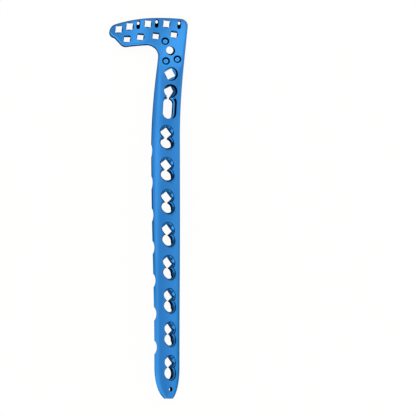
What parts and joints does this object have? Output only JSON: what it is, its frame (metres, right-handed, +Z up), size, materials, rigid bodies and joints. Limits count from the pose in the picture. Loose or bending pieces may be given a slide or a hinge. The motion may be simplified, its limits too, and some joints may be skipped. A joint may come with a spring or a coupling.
{
  "type": "anatomical bone plate",
  "caption": "Long, bowed and twisted bone plate in one piece, with combined locking and compression holes along its shaft and a wide perforated head to one side.",
  "frame": {"origin": "bottom centre of the box round the plate as it lies on a table, bone side down", "axes": "+Y along the shaft towards the head, +X to the side away from the head's arm, +Z up, out of the outer face"},
  "size_m": [0.0306, 0.1508, 0.0125],
  "materials": {
    "anodised_titanium": "satin, anodised blue"
  },
  "bodies": {
    "root": {"plate": "anodised_titanium"}
  },
  "joints": []
}
